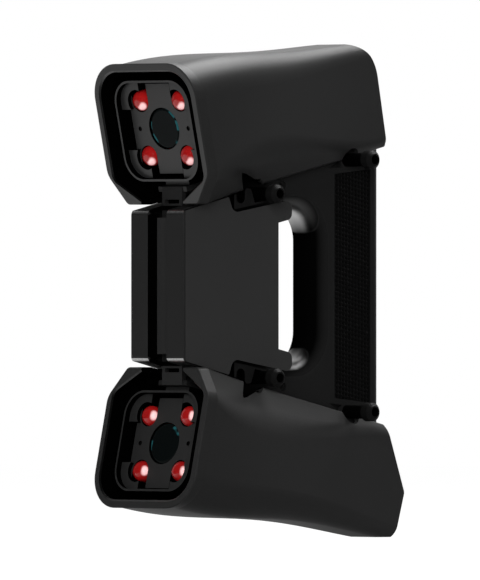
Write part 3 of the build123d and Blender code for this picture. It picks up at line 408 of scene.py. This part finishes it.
def head_test(end, limits, side):
    """Test for faces of a head within limits of looking outwards, on the outside or inside of its walls."""
    out = Vector((0, -math.cos(TOE_IN), -end * math.sin(TOE_IN)))
    up = Vector((0, -math.sin(TOE_IN), end * math.cos(TOE_IN)))
    middle = Vector((0, NOSE_Y, MID_Z + end * FACE_Z))
    low, high = limits

    def test(centre, normal):
        away = centre - middle
        turned_away = normal.x * away.x + normal.dot(up) * away.dot(up)
        return low < normal.dot(out) < high and (side == EITHER_SIDE or turned_away * side > 0)

    return test


# Arms: the rise of their middle line from a point behind the nose, and the start of the closed heel
ARM_SLOPE, ARM_MIDDLE_Y = 0.14, NOSE_Y + 0.06
ARM_HEEL_Y = NOSE_Y + 0.125


def arm_inside_test(end_name, end):
    """Test for the inner faces of an arm shell, in front of its heel."""
    low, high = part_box(f"{end_name}_arm_shell")
    middle_z = (low.z + high.z) / 2

    def test(centre, normal):
        rise = ARM_SLOPE * (centre.y - ARM_MIDDLE_Y) * end
        away = Vector((centre.x, 0, centre.z - middle_z - rise))
        return centre.y < ARM_HEEL_Y and normal.dot(away) < 0

    return test


# Laser block: its channel, its face, and the rounds at the upper and lower end of its nose
CHANNEL_HALF = 0.0085
BLOCK_FACE_Y = NOSE_Y + 0.0015
NOSE_ROUND_Y = NOSE_Y + 0.0036
NOSE_TURN, NOSE_FLANK = (0.3, 0.9), 0.3


def is_channel(centre, normal):
    """Test for the inside of the laser block's channel."""
    return abs(centre.x) < CHANNEL_HALF and centre.y > BLOCK_FACE_Y


def is_nose_round(centre, normal):
    """Test for the rounds at the ends of the laser block's nose."""
    slanting = NOSE_TURN[0] < abs(normal.z) < NOSE_TURN[1] and abs(normal.x) < NOSE_FLANK
    return slanting and centre.y < NOSE_ROUND_Y


# Handle: the reach of the lip round the finger opening, without the shells' flat sides and their seam
LIP_FRONT, LIP_REAR, LIP_HALF = NOSE_Y + 0.065, NOSE_Y + 0.129, 0.057
LIP_FLAT, LIP_SEAM = 0.97, 0.0005


def is_grip_lip(centre, normal):
    """Test for the rounded lip round the finger opening."""
    inside = LIP_FRONT < centre.y < LIP_REAR and abs(centre.z - MID_Z) < LIP_HALF
    return inside and abs(normal.x) < LIP_FLAT and abs(centre.x) > LIP_SEAM


# Side pieces: where a post's end starts, and the limit between faces that look sideways and upright ones
POST_COLLAR = 0.0325
SIDEWAYS = 0.5

post_axes = []
for mount in frame["record"]["mounts"]:
    if mount["kind"] == "bolt_pattern":
        mount_y, mount_z = mount["pos_m"][1:]
        half_spacing = mount["dims"]["spacing_y_mm"] * MM / 2
        post_axes += [(mount_y, mount_z - half_spacing), (mount_y, mount_z + half_spacing)]


def is_post_end(centre, normal):
    """Test for the outside of a post's end, without its bore."""
    y, z = min(post_axes, key=lambda axis: math.dist(axis, (centre.y, centre.z)))
    turned_away = (centre.y - y) * normal.y + (centre.z - z) * normal.z
    return abs(centre.x) > POST_COLLAR and (turned_away > 0 or abs(normal.x) > SIDEWAYS)


def is_thin_edge(centre, normal):
    """Test for faces that stand upright on a flat side piece."""
    return abs(normal.x) < SIDEWAYS


for subpart in frame["record"]["subparts"]:
    dress_node(subpart["node"], subpart["material_slot"])

for end_name, end_sign in ENDS.items():
    bezel = f"{end_name}_bezel"
    # Painted shade: black on the bezel's inner walls
    paint_faces(bezel, PAINTED_SHADE_BLACK, head_test(end_sign, WALL, INSIDE))
    paint_faces(bezel, MATERIALS["arm_plastic"], head_test(end_sign, OUTER_WALL, OUTSIDE))
    paint_faces(bezel, MATERIALS["arm_plastic"], head_test(end_sign, BEVEL, OUTSIDE))
    # Painted highlight on the bezel's inner bevels
    paint_faces(bezel, BEVEL_PAINTED_SHEEN, head_test(end_sign, BEVEL, INSIDE))
    # Painted shade: black on the walls of the light ring and lens plate, on the whole lamp board, which
    # shows only in shaded gaps, and on the arm shell's inner faces
    paint_faces(f"{end_name}_light_ring", PAINTED_SHADE_BLACK, head_test(end_sign, WALL, EITHER_SIDE))
    paint_faces(f"{end_name}_lens_plate", PAINTED_SHADE_BLACK, head_test(end_sign, WALL, EITHER_SIDE))
    paint_faces(f"{end_name}_lamp_board", PAINTED_SHADE_BLACK, is_any)
    paint_faces(f"{end_name}_arm_shell", PAINTED_SHADE_BLACK, arm_inside_test(end_name, end_sign))

# Painted shade: black inside the laser block's channel
paint_faces("laser_housing", PAINTED_SHADE_BLACK, is_channel)
# Painted highlight on the rounds at the ends of the laser block's nose
paint_faces("laser_housing", NOSE_PAINTED_SHEEN, is_nose_round)
# Painted highlight of the lower lamps, on another side than on the upper ones
paint_faces("lower_red_lamps", LOWER_LAMP_HIGHLIT, is_any)
for side_name in SIDES:
    # Painted sheen on the lip round the finger opening
    paint_faces(f"handle_{side_name}_shell", LIP_PAINTED_SHEEN_MATERIAL, is_grip_lip)
    # Painted shade: black on the upright edges of the side plates and forks
    paint_faces(f"{side_name}_side_plate", PAINTED_SHADE_BLACK, is_thin_edge)
    paint_faces(f"{side_name}_forks", PAINTED_SHADE_BLACK, is_thin_edge)
    # Painted light on the outer ends of the posts
    paint_faces(f"{side_name}_posts", POST_END_LIT, is_post_end)


def add_object(name, points, faces, material):
    """New mesh object with one material."""
    mesh = bpy.data.meshes.new(name)
    mesh.from_pydata(points, [], faces)
    mesh.materials.append(material)
    made = bpy.data.objects.new(name, mesh)
    bpy.context.scene.collection.objects.link(made)
    return made


# Grip: its dimples stand in columns, each set lower than the one in front of it
GRIP_COLUMN, GRIP_ROW, GRIP_SHIFT = 0.00256, 0.0026, 0.0006
DIMPLE_RADIUS, DIMPLE_DEPTH = 0.00105, 0.0006
GRIP_STEPS_Y, GRIP_STEPS_Z = 96, 456
GRIP_FRONT_HALF, GRIP_RIM_DEPTH = 0.066, 0.0002


def dimple(along, up):
    """How deep a dimple is at a place on the grip, measured from its front edge and from its middle."""
    column = round(along / GRIP_COLUMN - 0.5)
    centre_y = (column + 0.5) * GRIP_COLUMN
    row = round((up + column * GRIP_SHIFT) / GRIP_ROW)
    centre_z = row * GRIP_ROW - column * GRIP_SHIFT
    spread = ((along - centre_y) ** 2 + (up - centre_z) ** 2) / DIMPLE_RADIUS ** 2
    return DIMPLE_DEPTH * (1 - spread) ** 2 if spread < 1 else 0.0


def add_grip(side_name, side):
    """Dimpled rubber panel in the place of a plain grip node."""
    name = f"{side_name}_grip_panel"
    low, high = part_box(name)
    outer, inner = (high.x, low.x) if side > 0 else (low.x, high.x)
    rear_half = (high.z - low.z) / 2
    length = high.y - low.y
    points = []
    for i in range(GRIP_STEPS_Y + 1):
        share = i / GRIP_STEPS_Y
        half = GRIP_FRONT_HALF + (rear_half - GRIP_FRONT_HALF) * share
        for j in range(GRIP_STEPS_Z + 1):
            up = half * (2 * j / GRIP_STEPS_Z - 1)
            within = 0 < i < GRIP_STEPS_Y and 0 < j < GRIP_STEPS_Z
            deep = dimple(share * length, up) if within else GRIP_RIM_DEPTH
            points.append((outer - side * deep, low.y + share * length, MID_Z + up))
    stride = GRIP_STEPS_Z + 1
    faces = [
        (i * stride + j, (i + 1) * stride + j, (i + 1) * stride + j + 1, i * stride + j + 1)
        for i in range(GRIP_STEPS_Y)
        for j in range(GRIP_STEPS_Z)
    ]
    border = list(range(stride))
    border += [i * stride + GRIP_STEPS_Z for i in range(1, GRIP_STEPS_Y + 1)]
    border += [GRIP_STEPS_Y * stride + j for j in range(GRIP_STEPS_Z - 1, -1, -1)]
    border += [i * stride for i in range(GRIP_STEPS_Y - 1, 0, -1)]
    back = len(points)
    points += [(inner, points[k][1], points[k][2]) for k in border]
    count = len(border)
    for k in range(count):
        after = (k + 1) % count
        faces.append((border[k], border[after], back + after, back + k))
    faces.append(tuple(range(back + count - 1, back - 1, -1)))
    if side < 0:
        faces = [tuple(reversed(face)) for face in faces]
    piece = add_object(f"{side_name}_grip_skin", points, faces, MATERIALS["grip_rubber"])
    piece.data.polygons.foreach_set("use_smooth", [True] * len(piece.data.polygons))
    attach(piece, BODY)
    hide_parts(name)


for side_name, side_sign in SIDES.items():
    add_grip(side_name, side_sign)

# Signs on the buttons: half of their length and width, and how they stand on the caps
MARK_HALF, MARK_BAR = 0.0021, 0.00045
MARK_SUNK, MARK_PROUD, MARK_BEVEL = 0.0001, 0.0002, 0.00006
START_SHARE = 1.4


def turned(x, z, degrees):
    """Point of a sign, turned about the sign's middle."""
    cosine, sine = math.cos(math.radians(degrees)), math.sin(math.radians(degrees))
    return (x * cosine - z * sine, x * sine + z * cosine)


def bar_sign():
    """Outline of a minus sign."""
    return [(-MARK_HALF, -MARK_BAR), (MARK_HALF, -MARK_BAR), (MARK_HALF, MARK_BAR), (-MARK_HALF, MARK_BAR)]


def cross_sign():
    """Outline of a plus sign, arm by arm."""
    arm = [(MARK_BAR, -MARK_BAR), (MARK_HALF, -MARK_BAR), (MARK_HALF, MARK_BAR)]
    return [turned(x, z, degrees) for degrees in (0, 90, 180, 270) for x, z in arm]


def start_sign():
    """Outline of a start triangle."""
    return [turned(START_SHARE * MARK_HALF, 0.0, degrees) for degrees in (0, 120, 240)]


def add_mark(name, button, outline):
    """Raised sign on a button's cap, moving with the button."""
    low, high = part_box(button)
    middle_z = (low.z + high.z) / 2
    count = len(outline)
    points = [(-x, high.y - MARK_SUNK, middle_z + z) for x, z in outline]
    points += [(-x, high.y + MARK_PROUD, middle_z + z) for x, z in outline]
    faces = [(k, (k + 1) % count, count + (k + 1) % count, count + k) for k in range(count)]
    faces.append(tuple(range(count - 1, -1, -1)))
    faces.append(tuple(range(count, 2 * count)))
    piece = add_object(name, points, faces, MARK_WHITE)
    bevel = piece.modifiers.new("edges", "BEVEL")
    bevel.width = MARK_BEVEL
    bevel.segments = 2
    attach(piece, button)


add_mark("plus_mark", "plus_button", cross_sign())
add_mark("minus_mark", "minus_button", bar_sign())
add_mark("start_mark", "scan_button", start_sign())


def seen_rays(tree):
    """Value that is one for camera, mirror and glass rays, and zero for light."""
    path = add_node(tree, "ShaderNodeLightPath").outputs
    mirrored = number(tree, "MAXIMUM", path["Is Camera Ray"], path["Is Glossy Ray"])
    return number(tree, "MAXIMUM", mirrored, path["Is Transmission Ray"])


def floor_tone(tree):
    """Brightness of the floor: white to the camera, and in reflections white on its lit side only."""
    place = geometry(tree, "Position")
    dimming = (1.0, ROOM_DIM)
    across = map_range(tree, component(tree, place, "X"), (FLOOR_LIT_X, FLOOR_DIM_X), dimming)
    reach = map_range(tree, vector(tree, "LENGTH", place), (FLOOR_LIT_REACH, FLOOR_DIM_REACH), dimming)
    lit = number(tree, "MULTIPLY", across, reach)
    mirrored = add_node(tree, "ShaderNodeLightPath").outputs["Is Glossy Ray"]
    return map_range(tree, mirrored, (0.0, 1.0), (FLOOR_WHITE, lit), smooth=False)


def white_floor():
    """Floor material: mostly white to the camera, with a faint shadow, and half lit in reflections."""
    material, surface, tree = shader("floor_white", grey(FLOOR_LEVEL), FLOOR_ROUGHNESS, specular=0.0)
    white = add_node(tree, "ShaderNodeEmission", Color=WHITE, Strength=floor_tone(tree))
    mix = add_node(tree, "ShaderNodeMixShader", Fac=number(tree, "MULTIPLY", seen_rays(tree), FLOOR_GLOW))
    tree.links.new(surface.outputs["BSDF"], mix.inputs[1])
    tree.links.new(white.outputs["Emission"], mix.inputs[2])
    tree.links.new(mix.outputs["Shader"], tree.nodes["Material Output"].inputs["Surface"])
    return material


def add_floor():
    """Pale floor under the object."""
    low = cad_box[0].z - FLOOR_DROP
    half = FLOOR_SIZE / 2
    corners = [(-half, -half, low), (half, -half, low), (half, half, low), (-half, half, low)]
    floor = add_object("floor", corners, [(0, 1, 2, 3)], white_floor())


def room_tone(tree):
    """Brightness of the studio in reflections: white behind the object, dim on the camera's side."""
    direction = add_node(tree, "ShaderNodeTexCoord").outputs["Generated"]
    along = vector(tree, "DOT_PRODUCT", direction, BEHIND)
    return map_range(tree, along, (ROOM_DIM_TURN, ROOM_WHITE_TURN), (ROOM_DIM, 1.0))


def add_world():
    """World that is white to the camera and through glass, a studio in gloss, and dimmer as light."""
    world = bpy.data.worlds.new("studio")
    bpy.context.scene.world = world
    world.use_nodes = True
    tree = world.node_tree
    tree.nodes.clear()
    path = add_node(tree, "ShaderNodeLightPath").outputs
    light = add_node(tree, "ShaderNodeBackground", Color=WHITE, Strength=AMBIENT)
    gloss = add_node(tree, "ShaderNodeBackground", Color=WHITE, Strength=room_tone(tree))
    white = add_node(tree, "ShaderNodeBackground", Color=WHITE, Strength=1.0)
    shown = light.outputs["Background"]
    backgrounds = {"Is Glossy Ray": gloss, "Is Camera Ray": white, "Is Transmission Ray": white}
    for name, background in backgrounds.items():
        mix = add_node(tree, "ShaderNodeMixShader", Fac=path[name])
        tree.links.new(shown, mix.inputs[1])
        tree.links.new(background.outputs["Background"], mix.inputs[2])
        shown = mix.outputs["Shader"]
    out = add_node(tree, "ShaderNodeOutputWorld")
    tree.links.new(shown, out.inputs["Surface"])


def add_softbox(name, place, mirrored):
    """Large soft area light that faces the object, and may be left out of reflections."""
    data = bpy.data.lights.new(name, "AREA")
    data.shape = "SQUARE"
    data.size = SOFTBOX_SIZE
    data.energy = SOFTBOX_WATTS
    lamp = bpy.data.objects.new(name, data)
    bpy.context.scene.collection.objects.link(lamp)
    lamp.visible_glossy = mirrored
    lamp.location = place
    lamp.rotation_euler = (-Vector(place)).to_track_quat("-Z", "Y").to_euler()


def add_camera():
    """Camera at the photo's angle, level and far away."""
    data = bpy.data.cameras.new("camera")
    data.sensor_fit = "VERTICAL"
    data.sensor_height = SENSOR / MM
    data.lens = SENSOR / MM * VIEW_DISTANCE / VIEW_HEIGHT
    data.clip_end = VIEW_REACH
    camera = bpy.data.objects.new("camera", data)
    bpy.context.scene.collection.objects.link(camera)
    camera.location = VIEW_TARGET - BEHIND * VIEW_DISTANCE
    camera.rotation_euler = BEHIND.to_track_quat("-Z", "Y").to_euler()
    bpy.context.scene.camera = camera


add_world()
add_softbox("top_light", TOP_LIGHT, mirrored=True)
add_softbox("camera_side_light", CAMERA_SIDE_LIGHT, mirrored=False)
add_floor()
add_camera()
bpy.context.scene.view_settings.view_transform = "Standard"
